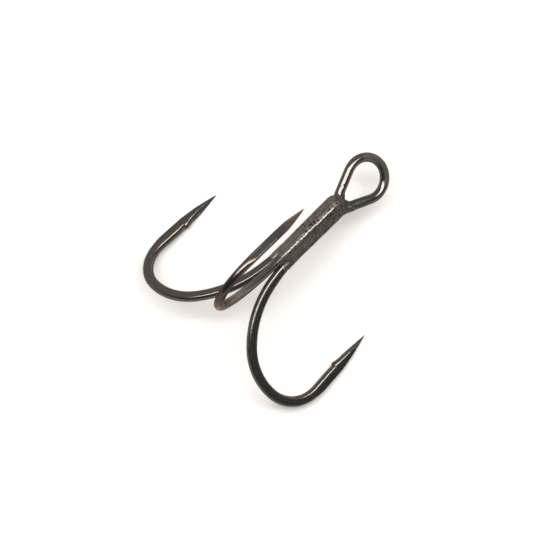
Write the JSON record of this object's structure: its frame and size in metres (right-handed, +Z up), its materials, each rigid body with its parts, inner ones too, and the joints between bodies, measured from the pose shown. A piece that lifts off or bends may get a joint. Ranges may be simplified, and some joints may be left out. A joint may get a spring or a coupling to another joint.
{
  "type": "treble fishing hook",
  "caption": "Treble fishing hook of dark plated steel wire: hooks with barbed needle points about a brazed shank with a round wire eye.",
  "frame": {"origin": "on the surface the hook lies on, under the middle of its bounding box", "axes": "+X from the bends toward the eye, with the shank sloping 9.2 degrees down toward the eye; +Z up, on the side of the top hook's point; +Y across, toward the single wire's hook"},
  "size_m": [0.0326, 0.0294, 0.0261],
  "materials": {
    "plated_wire": "glossy",
    "braze_filler": "satin"
  },
  "bodies": {
    "root": {"double_hook_wire": "plated_wire", "single_hook_wire": "plated_wire", "braze": "braze_filler"}
  },
  "joints": []
}
